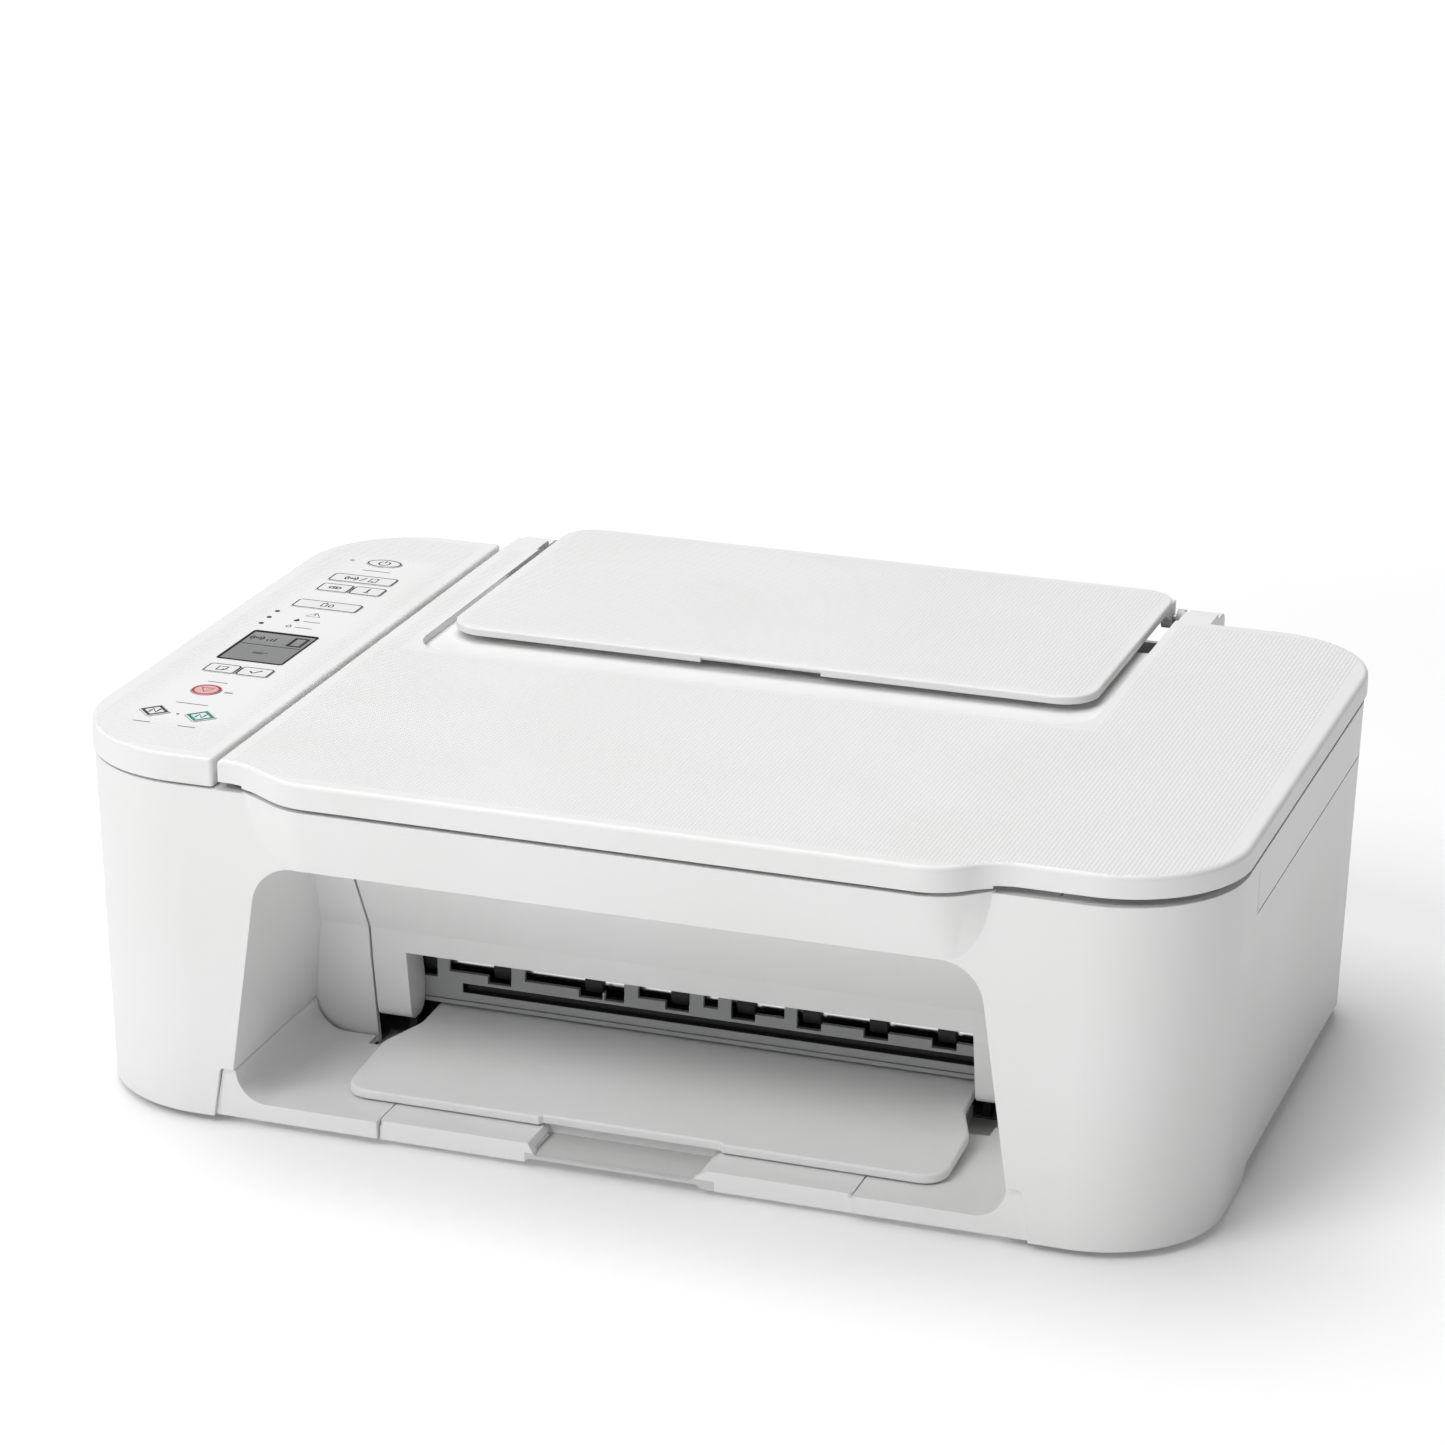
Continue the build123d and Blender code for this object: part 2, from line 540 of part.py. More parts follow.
def gear_train():
    feed_turn = 0.0
    idler_turn = meshing_turn(FEED_AXIS, FEED_TEETH, feed_turn, IDLER_AXIS, IDLER_TEETH)
    eject_turn = meshing_turn(IDLER_AXIS, IDLER_TEETH, idler_turn, EJECT_AXIS, EJECT_TEETH)
    pinion_turn = meshing_turn(FEED_AXIS, FEED_TEETH, feed_turn, PINION_AXIS, PINION_TEETH)
    feed = gear(FEED_TEETH, FEED_AXIS, feed_turn, 3.0)
    idler = gear(IDLER_TEETH, IDLER_AXIS, idler_turn, 2.0)
    eject = gear(EJECT_TEETH, EJECT_AXIS, eject_turn, 3.3)
    pinion = gear(PINION_TEETH, PINION_AXIS, pinion_turn, 1.5)
    save("feed_gear", feed)
    save("idler_gear", idler + rod_x(GEAR_X0 - 2, GEAR_X1 + 2, IDLER_AXIS, 2.0))
    save("eject_gear", eject)
    save("motor_pinion", pinion + rod_x(GEAR_X0, GEAR_X1 + 1, PINION_AXIS, 1.5))


def feed_roller():
    return rod_x(GEAR_X0, 116, FEED_AXIS, 3.0) + rod_x(-106, 106, FEED_AXIS, 6.0)


def pinch_rollers():
    rollers = rod_x(-102, 102, PINCH_AXIS, 1.2)
    for x in range(-90, 91, 36):
        rollers += rod_x(x - 7, x + 7, PINCH_AXIS, 3.1)
    return rollers


def eject_shaft():
    return rod_x(GEAR_X0, 117, EJECT_AXIS, 3.3)


def eject_rollers():
    rubbers = Part()
    for x in EJECT_RUBBER_X:
        rubbers += rod_x(x - RUBBER_HALF, x + RUBBER_HALF, EJECT_AXIS, 5.4)
    return rubbers - rod_x(-120, 120, EJECT_AXIS, 3.3)


def feed_motor():
    can = rod_x(-148.6, -120, PINION_AXIS, 13) + rod_x(-149.6, -148.6, PINION_AXIS, 5)
    bracket = span(-130, -126, 30, 34, 5.7, 50) + span(-130, -126, 40, 44, 5.7, 50)
    return can + bracket


# Carriage -------------------------------------------------------------------------------

def carriage_rail():
    rail = span(-188, 184, 10, 28, 78, 98) - span(-190, 186, 11.5, 30, 79.5, 96.5)
    for x in (-188, 182):
        rail += span(x, x + 2, 12, 28, 5.7, 98)
    return rail


def print_carriage():
    x = CARRIAGE_X
    box = span(x - 40, x + 40, -40, 2, 42, 88)
    for side in (-19.5, 19.5):
        box -= span(x + side - 17.5, x + side + 17.5, -37.5, -1, 46, 95)
        box -= span(x + side - 11, x + side + 11, -24, -10, 40, 50)
    guide = span(x - 20, x + 20, 2, 9.7, 80, 96) + span(x - 20, x + 20, 0, 16, 98.4, 100.4)
    guide += span(x - 20, x + 20, 0, 9.7, 86, 100.4)
    clip = span(x - 5, x + 5, 2, 9, 58, 66.4) - span(x - 6, x + 6, 3.4, 7.6, 63, 64.8)
    pivots = Part()
    for side in (-19.5, 19.5):
        pivots += span(x + side - 15, x + side - 13, -44, -40, 60, 64)
        pivots += span(x + side + 13, x + side + 15, -44, -40, 60, 64)
    return box + guide + clip + pivots


def cartridge(side):
    x = CARRIAGE_X + side
    body = span(x - 16.8, x + 16.8, -36.8, -2, 50.5, 84) + span(x - 10, x + 10, -23.5, -10.5,
                                                            42.8, 50.5)
    return body + span(x - 9, x + 9, -30, -12, 84, 86)


def latch(side):
    x = CARRIAGE_X + side
    lever = span(x - 12.5, x + 12.5, -43.6, -41, 61, 80) + rod_x(x - 12.5, x + 12.5,
                                                                 (-42, 62), 1.6)
    return lever + span(x - 8, x + 8, -45, -43, 76, 80)


def carriage_belt():
    def loop(grow):
        r = PULLEY_R + grow
        ring = span(TENSION_X, DRIVE_X, 3, 8, BELT_Z - r, BELT_Z + r)
        return ring + rod_y(DRIVE_X, BELT_Z, 3, 8, r) + rod_y(TENSION_X, BELT_Z, 3, 8, r)
    return (loop(1.0) - loop(0.15)) & span(-250, 250, 3.8, 7.2, 40, 100)


def pulley(x, shaft_end):
    flange = rod_y(x, BELT_Z, 2.6, 3.4, 7.5) + rod_y(x, BELT_Z, 7.6, 8.4, 7.5)
    return rod_y(x, BELT_Z, 2.6, 8.4, PULLEY_R) + flange + rod_y(x, BELT_Z, 8.4, shaft_end, 1.5)


def carriage_motor():
    return rod_y(DRIVE_X, BELT_Z, 11, 40, 11) + span(190, 206, 30, 38, 5.7, 62)


# Hopper ---------------------------------------------------------------------------------

PLATE_TOP, PLATE_END = (140.0, 112.0), (100.0, 56.0)


def pressure_plate():
    dy, dz = PLATE_END[0] - PLATE_TOP[0], PLATE_END[1] - PLATE_TOP[1]
    length = math.hypot(dy, dz)
    back = (-dz / length * 2.2, dy / length * 2.2)
    behind = [(PLATE_END[0] + back[0], PLATE_END[1] + back[1]),
              (PLATE_TOP[0] + back[0], PLATE_TOP[1] + back[1])]
    sheet = side_profile([PLATE_TOP, PLATE_END, *behind], -118, 118)
    return sheet + rod_x(-128, 128, PLATE_TOP, 1.8)


def paper_guide(x_inner, x_outer):
    fin = side_profile([(136, 137.5), (123, 137.5), (112.5, 116), (112.5, 100), (126.5, 100),
                        (135.5, 112.6)], x_inner, x_outer, [1, 5, 5, 3, 1, 0])
    middle = (x_inner + x_outer) / 2
    return fin + span(middle - 5, middle + 5, 135, 139.3, 117, 123)


def pickup_roller():
    roller = rod_x(-128.5, 122, PICKUP_AXIS, 3.0) + rod_x(-24, 24, PICKUP_AXIS, 15)
    return roller


def feed_slot_cover():
    cover = plate(corners(-120, 120, 98.5, 111), 121.2, 122.8, 1)
    return cover + rod_x(-127, 127, (98, 122), 1.5)


def maintenance_station():
    station = span(128, 206, -38, 2, 5.7, 34)
    for side in (-19.5, 19.5):
        x = CARRIAGE_X + side
        station += span(x - 13, x + 13, -27, -7, 34, 38) - span(x - 11, x + 11, -25, -9, 36, 39)
    return station


def power_supply():
    """Sealed block with a figure-of-eight inlet and its two pins at the rear."""
    x, z = 155, 26
    box = span(138, 186, 60, 117, 6, 50) + span(x - 14, x + 14, 116, 130, z - 9, z + 9)
    recess = plate(corners(-8.5, 8.5, -4.5, 4.5), 0, 11, 4.4)
    box -= Pos(x, 130.2, z) * Rot(90, 0, 0) * recess
    return box + rod_y(x - 4.3, z, 118, 128.5, 1.1) + rod_y(x + 4.3, z, 118, 128.5, 1.1)


def main_board():
    board = span(-206, -204.4, -56, 100, 22, 104)
    return board + span(-204.4, -196, 20, 60, 50, 70) + span(-204.4, -200, -40, -10, 60, 90)


def panel_board():
    board = span(-207, -162, -115, 100, 133.2, 134.8)
    for name in BUTTONS:
        x, y = key_centre(name)
        board += span(x - 2.5, x + 2.5, y - 2.5, y + 2.5, 134.8, 135.7)
    return board


def screws():
    heads = Part()
    for x in (-196, 196):
        for y in (-80, 20, 100):
            heads += rod_z(x, y, 5.7, 8.2, 3.2) - span(x - 2, x + 2, y - 0.4, y + 0.4, 7.4, 9)
    return heads


save("main_casing", main_casing())
save("base_pan", base_pan())
save("rubber_feet", rubber_feet())
save("front_sill", front_sill())
save("scanner_frame", scanner_frame())
save("platen_glass", span(-136, 170, -134, 84, 128.5, RIM_Z))
save("scan_rail", rod_x(-142, 208, (-25, 113.2), 2.0))
save("scan_bar", scan_bar())
save("document_lid", document_lid())
save("lid_pad", plate(corners(-136, 172, -134, 86), RIM_Z + 0.3, LID_TOP - FIELD_DEPTH - 2.5, 4))
save("paper_support", paper_support())
save("hinge_pins", hinge_pins())
save("rear_tray_housing", rear_tray_housing())
save("control_panel", control_panel())
save("lcd_display", lcd_display())
save("panel_lamps", panel_lamps())
save("panel_board", panel_board())
for key in BUTTONS:
    save(key, button(key))
save("output_cover", output_cover())
save("output_tray", output_tray())
save("tray_extension", tray_extension())
save("exit_guide", exit_guide())
save("print_platen", print_platen())
gear_train()
save("feed_roller", feed_roller())
save("pinch_rollers", pinch_rollers())
save("eject_shaft", eject_shaft())
save("eject_rollers", eject_rollers())
save("feed_motor", feed_motor())
save("carriage_rail", carriage_rail())
save("print_carriage", print_carriage())
save("black_cartridge", cartridge(-19.5))
save("color_cartridge", cartridge(19.5))
save("black_latch", latch(-19.5))
save("color_latch", latch(19.5))
save("carriage_belt", carriage_belt())
save("drive_pulley", pulley(DRIVE_X, 10.8))
save("tension_pulley", pulley(TENSION_X, 12.0))
save("carriage_motor", carriage_motor())
save("pressure_plate", pressure_plate())
save("paper_guide_left", paper_guide(-108, -106))
save("paper_guide_right", paper_guide(106, 108))
save("pickup_roller", pickup_roller())
save("feed_slot_cover", feed_slot_cover())
save("maintenance_station", maintenance_station())
save("power_supply", power_supply())
save("main_board", main_board())
save("screws", screws())
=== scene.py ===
import math

import bpy
from mathutils import Matrix, Vector


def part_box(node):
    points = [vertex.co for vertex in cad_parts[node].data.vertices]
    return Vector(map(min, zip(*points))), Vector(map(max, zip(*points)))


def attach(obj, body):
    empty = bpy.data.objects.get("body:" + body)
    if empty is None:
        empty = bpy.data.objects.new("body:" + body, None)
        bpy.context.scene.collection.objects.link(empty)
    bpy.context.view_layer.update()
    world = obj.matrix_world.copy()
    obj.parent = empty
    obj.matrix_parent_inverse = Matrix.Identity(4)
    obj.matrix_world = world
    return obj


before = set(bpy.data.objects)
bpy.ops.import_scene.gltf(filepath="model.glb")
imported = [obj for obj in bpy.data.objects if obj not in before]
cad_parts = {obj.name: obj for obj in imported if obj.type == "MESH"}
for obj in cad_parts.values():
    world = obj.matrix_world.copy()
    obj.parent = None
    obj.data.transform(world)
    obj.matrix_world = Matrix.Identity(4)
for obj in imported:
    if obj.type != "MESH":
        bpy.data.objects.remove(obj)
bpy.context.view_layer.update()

# Camera, floor and light ---------------------------------------------------------------
# A long lens looks down on the front right corner. The floor is a plain white sweep under
# a broad top light and a key light from the front left, so the right side falls off.
CAMERA_PLACE = Vector((0.5172, -1.5105, 0.6931))
CAMERA_TURN, CAMERA_DROP, CAMERA_ROLL = 0.335, 0.341, 0.006
CAMERA_LENS, SENSOR = 112.45, 36.0


def camera_frame(turn, drop, roll):
    """Right, up and backward directions of a camera turned, dropped and rolled."""
    back = Vector((math.sin(turn) * math.cos(drop), -math.cos(turn) * math.cos(drop),
                   math.sin(drop)))
    level = Vector((math.cos(turn), math.sin(turn), 0))
    lift = back.cross(level)
    right = level * math.cos(roll) + lift * math.sin(roll)
    up = lift * math.cos(roll) - level * math.sin(roll)
    return Matrix((right, up, back)).transposed().to_4x4()


bpy.ops.object.camera_add()
camera = bpy.context.object
camera.data.lens, camera.data.sensor_width = CAMERA_LENS, SENSOR
camera.data.clip_end = 20
camera.matrix_world = (Matrix.Translation(CAMERA_PLACE)
                       @ camera_frame(CAMERA_TURN, CAMERA_DROP, CAMERA_ROLL))
bpy.context.scene.camera = camera
bpy.context.scene.view_settings.view_transform = "Standard"

bpy.ops.object.select_all(action="DESELECT")
bpy.ops.mesh.primitive_plane_add(size=14)
floor = bpy.context.object
floor.name = "floor"

LIGHTS = {
    "key": ((-1.1, -1.9, 2.3), 1.5, 39),
    "top": ((-0.5, 0.5, 2.4), 2.2, 53),
    "front": ((-0.2, -3.0, 0.5), 1.2, 10),
}
for name, (place, width, power) in LIGHTS.items():
    bpy.ops.object.light_add(type="AREA", location=place)
    light = bpy.context.object
    light.name = name
    light.data.size, light.data.energy = width, power
    aim = Vector((0, 0, 0.08)) - Vector(place)
    light.rotation_euler = aim.to_track_quat("-Z", "Y").to_euler()

world = bpy.data.worlds.new("studio")
bpy.context.scene.world = world
world.use_nodes = True
world.node_tree.nodes["Background"].inputs["Color"].default_value = (1, 1, 1, 1)
world.node_tree.nodes["Background"].inputs["Strength"].default_value = 0.08


# White shell ---------------------------------------------------------------------------
# The casing, sill, bay cover and trays are moulded in white styrene with a very fine spark
# grain, a shade warmer on broad faces. The floor of the finger notch has painted shade: it
# is coloured grey where it lies in shade. Mould edges are eased by half a millimetre.
class Term:
    """A number, colour or vector on its way through a material."""

    def __init__(self, finish, socket):
        self.finish, self.socket = finish, socket

    def math(self, operation, *others, flip=False):
        values = [self, *others]
        if flip:
            values.reverse()
        return self.finish.node("Math", {"operation": operation},
                                dict(enumerate(values)))

    def __add__(self, other):
        return self.math("ADD", other)

    def __sub__(self, other):
        return self.math("SUBTRACT", other)

    def __rsub__(self, other):
        return self.math("SUBTRACT", other, flip=True)

    def __mul__(self, other):
        return self.math("MULTIPLY", other)

    __radd__, __rmul__ = __add__, __mul__

    def ramp(self, low, high):
        """Zero below low, one above high, smooth between."""
        settings = {"interpolation_type": "SMOOTHSTEP", "clamp": True}
        return self.finish.node("MapRange", settings,
                                {"Value": self, "From Min": low, "From Max": high})


class Finish:
    """A material built on one Principled shader."""

    def __init__(self, name, **shader):
        self.material = bpy.data.materials.new(name)
        self.material.use_nodes = True
        self.tree = self.material.node_tree
        self.shader = self.tree.nodes["Principled BSDF"]
        self.set(**shader)

    def node(self, kind, settings=None, inputs=None, outlet=0):
        made = self.tree.nodes.new("ShaderNode" + kind)
        for name, value in (settings or {}).items():
            setattr(made, name, value)
        for name, value in (inputs or {}).items():
            self.feed(made.inputs[name], value)
        return Term(self, made.outputs[outlet])

    def feed(self, socket, value):
        if isinstance(value, Term):
            self.tree.links.new(value.socket, socket)
        else:
            socket.default_value = value

    def set(self, **shader):
        for name, value in shader.items():
            self.feed(self.shader.inputs[name.replace("_", " ")], value)

    def place(self):
        """X, Y and Z of the point, in metres."""
        point = self.node("TexCoord", outlet="Object")
        return [self.node("SeparateXYZ", inputs={0: point}, outlet=axis) for axis in "XYZ"]

    def noise(self, scale, detail=2.0, roughness=0.5):
        point = self.node("TexCoord", outlet="Object")
        return self.node("TexNoise", inputs={"Vector": point, "Scale": scale,
                                             "Detail": detail, "Roughness": roughness})

    def mix(self, amount, first, second):
        made = self.tree.nodes.new("ShaderNodeMix")
        made.data_type = "RGBA"
        for name, value in (("Factor_Float", amount), ("A_Color", first), ("B_Color", second)):
            socket = next(s for s in made.inputs if s.identifier == name)
            self.feed(socket, value)
        return Term(self, next(s for s in made.outputs if s.identifier == "Result_Color"))

    def bump(self, height, distance, strength=1.0, eased=0.0):
        inputs = {"Height": height, "Distance": distance, "Strength": strength}
        if eased:
            inputs["Normal"] = self.node("Bevel", {"samples": 4}, {"Radius": eased})
        return self.node("Bump", None, inputs)


def dress(finish, *nodes):
    """Gives a finish to CAD nodes by their own slots."""
    for name in nodes:
        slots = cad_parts[name].material_slots
        for slot in slots:
            slot.material = finish.material


WHITE, WARM_WHITE = (0.87, 0.87, 0.87, 1), (0.845, 0.843, 0.838, 1)
NOTCH_SHADE_GREY = (0.64, 0.64, 0.635, 1)
EASED_EDGE = 0.0005
shell = Finish("white_shell", IOR=1.5, Specular_IOR_Level=0.45)
grain = shell.noise(2600, 3)
cloud = shell.noise(9, 2)
x, y, z = shell.place()
# Painted shade: the floor of the finger notch is coloured grey where it lies in shade.
notch_painted_shade = (x.ramp(-0.0336, -0.0334) * (1 - x.ramp(0.0385, 0.0387)) * y.ramp(-0.1449, -0.1446)
               * (1 - z.ramp(0.0060, 0.0064)))
clouded = shell.mix(cloud.ramp(0.35, 0.7), WHITE, WARM_WHITE)
shell.set(Base_Color=shell.mix(notch_painted_shade, clouded, NOTCH_SHADE_GREY),
          Roughness=0.34 + grain * 0.12,
          Normal=shell.bump(grain, 0.00002, 0.6, EASED_EDGE))
dress(shell, "main_casing", "front_sill", "output_cover", "output_tray", "tray_extension",
      "scanner_frame")

# Woven relief --------------------------------------------------------------------------
# The lid, the paper support and the outer part of the key panel carry a moulded relief of
# small raised stitches in staggered rows, which fades out to smooth borders. The raised
# stitches are also painted lighter, as a painted highlight.
STITCH, STITCH_HEIGHT = 0.0022, 0.00025


def stitches(finish):
    """Raised dashes in staggered rows, turned by an eighth, one every STITCH."""
    x, y, _ = finish.place()
    across = (x + y) * (0.7071 / STITCH)
    along = (y - x) * (0.7071 / STITCH)
    wave_a = (across * math.tau).math("SINE")
    wave_b = (along * math.tau).math("SINE")
    weave = (wave_a * wave_b) * 0.5 + 0.5
    return weave.ramp(0.45, 0.9)


def inside(finish, x0, x1, y0, y1, soft):
    """One inside a rectangle in plan, fading to zero over its border."""
    x, y, _ = finish.place()
    left, right = x.ramp(x0, x0 + soft), 1 - x.ramp(x1 - soft, x1)
    low, high = y.ramp(y0, y0 + soft), 1 - y.ramp(y1 - soft, y1)
    return left * right * low * high


def woven_finish(name, relief_area):
    made = Finish(name, IOR=1.5, Specular_IOR_Level=0.45)
    _, _, height = made.place()
    relief = stitches(made) * relief_area(made) * height.ramp(0.1420, 0.1421)
    fine = made.noise(2600, 3)
    wide = made.noise(14, 2)
    tint = made.mix(wide.ramp(0.35, 0.7), WHITE, WARM_WHITE)
    # Painted highlight: the raised stitches are coloured lighter than the plastic around them.
    made.set(Base_Color=made.mix(relief, tint, (0.93, 0.93, 0.93, 1)),
             Roughness=0.42 + fine * 0.08 - relief * 0.14,
             Normal=made.bump(relief + fine * 0.08, STITCH_HEIGHT, 0.8, EASED_EDGE))
    return made


lid_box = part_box("document_lid")
flap_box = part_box("paper_support")
panel_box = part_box("control_panel")
FIELD_HALF, FIELD_FRONT, BORDER = 0.1335, -0.005, 0.004


def lid_relief(finish):
    whole = inside(finish, lid_box[0][0] + 0.004, lid_box[1][0] - 0.006,
                   lid_box[0][1] + 0.005, 0.131 - 0.005, 0.002)
    field = inside(finish, -FIELD_HALF - BORDER, FIELD_HALF + BORDER,
                   FIELD_FRONT - BORDER, 0.2, 0.0015)
    return whole * (1 - field)


def flap_relief(finish):
    return inside(finish, flap_box[0][0] + 0.003, flap_box[1][0] - 0.003,
                  flap_box[0][1] + 0.003, flap_box[1][1] - 0.003, 0.002)


def panel_relief(finish):
    whole = inside(finish, panel_box[0][0] + 0.005, panel_box[1][0] - 0.004,
                   panel_box[0][1] + 0.005, panel_box[1][1] - 0.005, 0.002)
    keys = inside(finish, -0.2065, -0.158, -0.118, 0.1, 0.012)
    return whole * (1 - keys)


dress(woven_finish("woven_lid", lid_relief), "document_lid")
dress(woven_finish("woven_flap", flap_relief), "paper_support")
dress(woven_finish("woven_panel", panel_relief), "control_panel")

# Keys ----------------------------------------------------------------------------------
# Ten moulded keys stand a third of a millimetre proud of the panel, each in its own gap.
# Most are white with a printed symbol; stop is a pink button with a red ring, and the two
# start keys are white diamonds with a grey and a green border.
KEY_TOP = 0.1425
INK_DARK, INK_RED = (0.02, 0.021, 0.023, 1), (0.45, 0.06, 0.07, 1)
INK_GREEN, INK_GREY = (0.01, 0.27, 0.2, 1), (0.06, 0.063, 0.066, 1)
WHITE_KEYS = ["power_button", "wireless_button", "info_button", "direct_button",
              "ink_button", "copies_button", "ok_button", "start_black_button",
              "start_color_button"]


def moulded(name, colour, roughness, variation=0.05, grain_scale=1800):
    """Plain moulded plastic or rubber with a fine grain and a slight cloud."""
    made = Finish(name, IOR=1.5)
    fine = made.noise(grain_scale, 3)
    wide = made.noise(40, 2)
    darker = tuple(c * (1 - 2 * variation) for c in colour[:3]) + (1,)
    made.set(Base_Color=made.mix(wide.ramp(0.3, 0.75), colour, darker),
             Roughness=roughness + fine * 0.1,
             Normal=made.bump(fine, 0.00003, 0.6, EASED_EDGE * 0.6))
    return made


def printed(name, colour):
    """Screen-printed ink."""
    made = Finish(name, Roughness=0.5)
    wear = made.noise(900, 2)
    lighter = tuple(min(1, c * 1.35 + 0.01) for c in colour[:3]) + (1,)
    made.set(Base_Color=made.mix(wear.ramp(0.55, 0.8), colour, lighter))
    return made


dress(moulded("key_white", WHITE, 0.34, 0.01), *WHITE_KEYS)
dress(moulded("key_pink", (0.84, 0.5, 0.5, 1), 0.34, 0.03), "stop_button")
ink = {"dark": printed("ink_dark", INK_DARK), "red": printed("ink_red", INK_RED),
       "green": printed("ink_green", INK_GREEN), "grey": printed("ink_grey", INK_GREY)}
MM = 0.001
INK_FLAT = 0.16


def ring(x, y, r, start=0, stop=360, count=28, squash=1.0):
    """Points of a circle or an arc, in degrees, counter-clockwise."""
    closed = stop - start >= 360
    steps = count if closed else count + 1
    turns = [math.radians(start + (stop - start) * i / count) for i in range(steps)]
    return [(x + r * math.cos(t), y + r * squash * math.sin(t)) for t in turns], closed


def line(*points):
    return list(points), False


def loop(*points):
    return list(points), True


def round_box(x, y, half_wide, half_deep, r):
    """Rectangle with rounded corners."""
    points = []
    for turn, (sx, sy) in enumerate(((1, 1), (-1, 1), (-1, -1), (1, -1))):
        arc, _ = ring(x + sx * (half_wide - r), y + sy * (half_deep - r), r,
                      90 * turn, 90 * turn + 90, 5)
        points += arc
    return points, True


def box_loop(x, y, half_wide, half_deep):
    return loop((x - half_wide, y - half_deep), (x + half_wide, y - half_deep),
                (x + half_wide, y + half_deep), (x - half_wide, y + half_deep))


def print_marks(name, body, strokes, width=0.32, colour="dark", top=KEY_TOP):
    """Ink lines a few hundredths of a millimetre thick, lying on a face; sizes in mm."""
    curve = bpy.data.curves.new(name, "CURVE")
    curve.dimensions = "3D"
    curve.bevel_depth, curve.bevel_resolution = width / 2 * MM, 1
    curve.use_fill_caps = True
    for points, closed in strokes:
        spline = curve.splines.new("POLY")
        spline.points.add(len(points) - 1)
        for point, (x, y) in zip(spline.points, points):
            point.co = (x * MM, y * MM, 0, 1)
        spline.use_cyclic_u = closed
    piece = bpy.data.objects.new(name, curve)
    bpy.context.collection.objects.link(piece)
    bpy.ops.object.select_all(action="DESELECT")
    piece.select_set(True)
    bpy.context.view_layer.objects.active = piece
    bpy.ops.object.convert(target="MESH")
    piece = bpy.context.object
    piece.scale = (1, 1, INK_FLAT)
    piece.location = (0, 0, top)
    bpy.ops.object.transform_apply(location=True, rotation=True, scale=True)
    piece.data.materials.clear()
    piece.data.materials.append(ink[colour].material)
    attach(piece, body)
    return piece


def centre(node):
    low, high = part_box(node)
    return (low[0] + high[0]) / 2 / MM, (low[1] + high[1]) / 2 / MM


def half_size(node):
    low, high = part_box(node)
    return (high[0] - low[0]) / 2 / MM, (high[1] - low[1]) / 2 / MM


OUTLINE_IN, TAB_REACH = 0.35, 0.9
for node in ("wireless_button", "info_button", "direct_button", "ink_button", "copies_button",
             "ok_button"):
    x, y = centre(node)
    wide, deep = half_size(node)
    print_marks(node.replace("_button", "_outline"), node.replace("_button", "_key"),
                [round_box(x, y, wide - OUTLINE_IN, deep - TAB_REACH - OUTLINE_IN, 1.4)], 0.6)

x, y = centre("power_button")
print_marks("power_mark", "power_key", [
    ring(x, y, 2.3, 120, 420), line((x, y + 0.4), (x, y + 3.0)),
    ring(x, y, 6.9, count=40, squash=0.62)], 0.65)
x, y = centre("wireless_button")
print_marks("wireless_mark", "wireless_key", [
    ring(x - 5, y, 0.5), ring(x - 5, y, 1.5, -50, 50, 8), ring(x - 5, y, 1.5, 130, 230, 8),
    ring(x - 5, y, 2.6, -50, 50, 8), ring(x - 5, y, 2.6, 130, 230, 8),
    line((x - 0.9, y - 2), (x + 0.9, y + 2)), box_loop(x + 4.6, y, 1.5, 2.2),
    line((x + 4, y - 1.5), (x + 5.2, y - 1.5))], 0.7)
x, y = centre("info_button")
print_marks("link_mark", "info_key", [ring(x - 0.9, y, 1.6, squash=0.7),
                                      ring(x + 0.9, y, 1.6, squash=0.7)], 0.7)
x, y = centre("direct_button")
print_marks("note_mark", "direct_key", [line((x, y - 1.2), (x, y + 1.4)), ring(x, y + 2.2, 0.2),
                                        line((x - 1, y - 1.9), (x + 1, y - 1.9))], 0.8)
x, y = centre("ink_button")
print_marks("nozzle_mark", "ink_key", [
    box_loop(x - 1.4, y + 0.3, 1.0, 1.8), line((x - 1.4, y + 2.6), (x - 1.4, y + 3.2)),
    loop((x + 1.6, y + 2), (x + 2.6, y - 0.2), (x + 2.2, y - 1.4), (x + 1.0, y - 1.4),
         (x + 0.6, y - 0.2))], 0.7)
x, y = centre("copies_button")
print_marks("sheet_mark", "copies_key", [
    loop((x - 1.7, y - 2), (x + 0.7, y - 2), (x + 1.9, y - 0.8), (x + 1.9, y + 2),
         (x - 1.7, y + 2)), line((x + 0.7, y - 2), (x + 0.7, y - 0.8), (x + 1.9, y - 0.8))], 0.7)
x, y = centre("ok_button")
print_marks("tick_mark", "ok_key", [line((x - 2, y + 0.2), (x - 0.5, y - 1.6), (x + 2.2, y + 1.9))],
            0.9)
x, y = centre("stop_button")
print_marks("stop_ring", "stop_key", [ring(x, y, 5.0, count=40)], 1.0, "red")
print_marks("stop_mark", "stop_key", [loop((x - 2.5, y + 1.9), (x + 2.5, y + 1.9), (x, y - 2.5))],
            0.8, "red")
for side, tone in (("black", "grey"), ("color", "green")):
    x, y = centre(f"start_{side}_button")
    print_marks(f"start_{side}_border", f"start_{side}_key",
                [loop((x - 4.9, y), (x, y - 4.9), (x + 4.9, y), (x, y + 4.9))], 1.8, tone)
    print_marks(f"start_{side}_mark", f"start_{side}_key",
                [line((x - 1.5, y - 2.0), (x - 1.1, y + 1.6), (x + 1.1, y - 1.6),
                      (x + 1.5, y + 2.0))], 1.1, tone)

# Panel legends -------------------------------------------------------------------------
# Plain signs stand beside the keys in place of words: a warning triangle, a black and an
# open ink drop, and short rules.
PANEL_TOP = 0.1422


